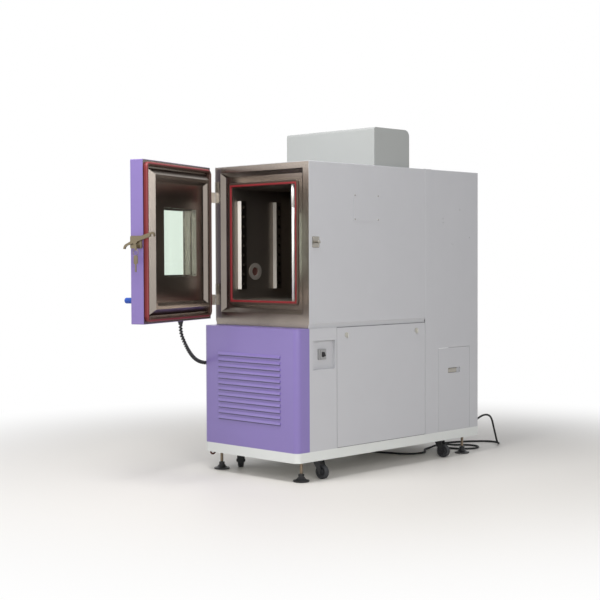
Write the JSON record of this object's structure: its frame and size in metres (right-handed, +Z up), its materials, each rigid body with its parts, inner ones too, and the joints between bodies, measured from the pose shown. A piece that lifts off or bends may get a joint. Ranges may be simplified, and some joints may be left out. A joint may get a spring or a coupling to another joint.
{
  "type": "environmental test chamber",
  "caption": "Floor-standing environmental test chamber on casters: windowed door open on a stainless test space, over a louvred machine compartment.",
  "frame": {"origin": "on the floor, at the centre of the cabinet's footprint", "axes": "+X the machine's right as seen from its front, the door faces -Y, +Z up; the door stands open 69.35 degrees at rest"},
  "size_m": [0.84, 2.688, 1.925],
  "materials": {
    "trim_pale": "satin",
    "brown_hose": "matte",
    "frame_paint": "matte",
    "casing_purple": "satin",
    "panel_grey": "satin",
    "zinc_plate": "satin",
    "black_plastic": "matte",
    "dark_rubber": "matte",
    "black_castings": "matte",
    "aluminium_parts": "satin",
    "stainless": "brushed",
    "red_silicone": "matte",
    "foam": "matte",
    "window_pane": "clear",
    "blue_grip": "matte",
    "wheel_tyre": "matte"
  },
  "bodies": {
    "cabinet": {"base_frame": "trim_pale", "drain_hose": "brown_hose", "lower_frame": "frame_paint", "front_cover": "casing_purple", "switch_panel": "panel_grey", "left_lower_panel": "panel_grey", "main_switch": "black_plastic", "compressor": "black_castings", "condenser": "aluminium_parts", "upper_casing": "panel_grey", "rear_casing": "panel_grey", "rear_panel": "panel_grey", "top_box": "trim_pale", "door_frame": "stainless", "cavity_liner": "stainless", "cavity_seal": "red_silicone", "insulation": "foam", "shelf_rails": "stainless", "duct_panel": "stainless", "fan_motor": "black_castings", "air_coils": "aluminium_parts", "port_sleeve": "stainless", "strike_plate": "zinc_plate", "hinge_frame_leaves": "zinc_plate", "cable_glands": "black_plastic", "door_harness": "dark_rubber", "mains_cord": "dark_rubber", "mains_plug": "black_plastic"},
    "door": {"hinge_door_leaves": "zinc_plate", "door_shell": "casing_purple", "door_liner": "stainless", "window_glass": "window_pane", "door_gasket": "red_silicone", "latch_body": "zinc_plate", "door_grip": "blue_grip", "control_panel": "black_plastic", "door_gland": "black_plastic"},
    "latch": {"latch_lever": "zinc_plate"},
    "key": {"lock_key": "zinc_plate"},
    "side_panel": {"access_panel": "panel_grey"},
    "panel_lock_front": {"access_lock_front": "zinc_plate"},
    "panel_lock_rear": {"access_lock_rear": "zinc_plate"},
    "service_flap": {"rear_door": "panel_grey"},
    "flap_latch": {"rear_door_latch": "black_plastic"},
    "toggle": {"switch_toggle": "dark_rubber"},
    "plug_of_port": {"port_plug": "red_silicone"},
    "circulation_rotor": {"fan_rotor": "aluminium_parts"},
    "cooling_rotor": {"condenser_fan": "aluminium_parts"},
    "swivel_front_right": {"caster_fork_front_right": "zinc_plate"},
    "wheel_front_right": {"caster_wheel_front_right": "wheel_tyre"},
    "swivel_front_left": {"caster_fork_front_left": "zinc_plate"},
    "wheel_front_left": {"caster_wheel_front_left": "wheel_tyre"},
    "swivel_rear_right": {"caster_fork_rear_right": "zinc_plate"},
    "wheel_rear_right": {"caster_wheel_rear_right": "wheel_tyre"},
    "swivel_rear_left": {"caster_fork_rear_left": "zinc_plate"},
    "wheel_rear_left": {"caster_wheel_rear_left": "wheel_tyre"},
    "leveller_front_right": {"foot_front_right": "black_castings"},
    "leveller_front_left": {"foot_front_left": "black_castings"},
    "leveller_rear_right": {"foot_rear_right": "black_castings"},
    "leveller_rear_left": {"foot_rear_left": "black_castings"}
  },
  "joints": [
    {"name": "door_hinge", "type": "hinge", "parent": "cabinet", "child": "door", "pos_m": [-0.384, -0.7225, 1.278], "axis": [0, 0, 1], "range_deg": [-50.65, 69.35], "deforming": ["door_harness"]},
    {"name": "latch_turn", "type": "hinge", "parent": "door", "child": "latch", "pos_m": [-0.13854, -1.45179, 1.284], "axis": [-0.3527, 0.9358, 0], "range_deg": [-12, 18]},
    {"name": "key_turn", "type": "hinge", "parent": "door", "child": "key", "pos_m": [-0.12742, -1.45294, 1.256], "axis": [0.3527, -0.9358, 0], "range_deg": [-90, 0]},
    {"name": "panel_tilt", "type": "hinge", "parent": "cabinet", "child": "side_panel", "pos_m": [0.37, 0, 0.164], "axis": [0, 1, 0], "range_deg": [0, 30]},
    {"name": "lock_turn_front", "type": "hinge", "parent": "side_panel", "child": "panel_lock_front", "pos_m": [0.37, -0.4015, 0.774], "axis": [1, 0, 0], "range_deg": [0, 90]},
    {"name": "lock_turn_rear", "type": "hinge", "parent": "side_panel", "child": "panel_lock_rear", "pos_m": [0.37, 0.1975, 0.774], "axis": [1, 0, 0], "range_deg": [0, 90]},
    {"name": "flap_tilt", "type": "hinge", "parent": "cabinet", "child": "service_flap", "pos_m": [0.37, 0.5545, 0.1646], "axis": [0, 1, 0], "range_deg": [0, 60]},
    {"name": "flap_latch_pull", "type": "hinge", "parent": "service_flap", "child": "flap_latch", "pos_m": [0.3645, 0.5545, 0.5315], "axis": [0, -1, 0], "range_deg": [0, 40], "stiffness_Nm_per_rad": 0.3, "springref_deg": -17.19},
    {"name": "switch_toggle_flip", "type": "hinge", "parent": "cabinet", "child": "toggle", "pos_m": [0.358, -0.5805, 0.676], "axis": [0, -1, 0], "range_deg": [0, 44]},
    {"name": "port_plug_pull", "type": "slide", "parent": "cabinet", "child": "plug_of_port", "axis": [-1, 0, 0], "range_m": [0, 0.16]},
    {"name": "circulation_spin", "type": "hinge", "parent": "cabinet", "child": "circulation_rotor", "pos_m": [0, 0.0125, 1.6], "axis": [0, 0, 1], "continuous": true},
    {"name": "cooling_spin", "type": "hinge", "parent": "cabinet", "child": "cooling_rotor", "pos_m": [0, -0.5525, 0.4745], "axis": [0, 1, 0], "continuous": true},
    {"name": "swivel_front_right", "type": "hinge", "parent": "cabinet", "child": "swivel_front_right", "pos_m": [0.305, -0.5625, 0.104], "axis": [0, 0, 1], "continuous": true},
    {"name": "roll_front_right", "type": "hinge", "parent": "swivel_front_right", "child": "wheel_front_right", "pos_m": [0.337, -0.5625, 0.039], "axis": [0, 1, 0], "continuous": true},
    {"name": "swivel_front_left", "type": "hinge", "parent": "cabinet", "child": "swivel_front_left", "pos_m": [-0.305, -0.5625, 0.104], "axis": [0, 0, 1], "continuous": true},
    {"name": "roll_front_left", "type": "hinge", "parent": "swivel_front_left", "child": "wheel_front_left", "pos_m": [-0.28277, -0.58552, 0.039], "axis": [0.7193, 0.6947, 0], "continuous": true},
    {"name": "swivel_rear_right", "type": "hinge", "parent": "cabinet", "child": "swivel_rear_right", "pos_m": [0.305, 0.4875, 0.104], "axis": [0, 0, 1], "continuous": true},
    {"name": "roll_rear_right", "type": "hinge", "parent": "swivel_rear_right", "child": "wheel_rear_right", "pos_m": [0.33669, 0.49195, 0.039], "axis": [-0.1392, 0.9903, 0], "continuous": true},
    {"name": "swivel_rear_left", "type": "hinge", "parent": "cabinet", "child": "swivel_rear_left", "pos_m": [-0.305, 0.4875, 0.104], "axis": [0, 0, 1], "continuous": true},
    {"name": "roll_rear_left", "type": "hinge", "parent": "swivel_rear_left", "child": "wheel_rear_left", "pos_m": [-0.33271, 0.5035, 0.039], "axis": [-0.5, -0.866, 0], "continuous": true},
    {"name": "level_front_right", "type": "slide", "parent": "cabinet", "child": "leveller_front_right", "axis": [0, 0, -1], "range_m": [0, 0.02]},
    {"name": "level_front_left", "type": "slide", "parent": "cabinet", "child": "leveller_front_left", "axis": [0, 0, -1], "range_m": [0, 0.02]},
    {"name": "level_rear_right", "type": "slide", "parent": "cabinet", "child": "leveller_rear_right", "axis": [0, 0, -1], "range_m": [0, 0.02]},
    {"name": "level_rear_left", "type": "slide", "parent": "cabinet", "child": "leveller_rear_left", "axis": [0, 0, -1], "range_m": [0, 0.02]}
  ]
}
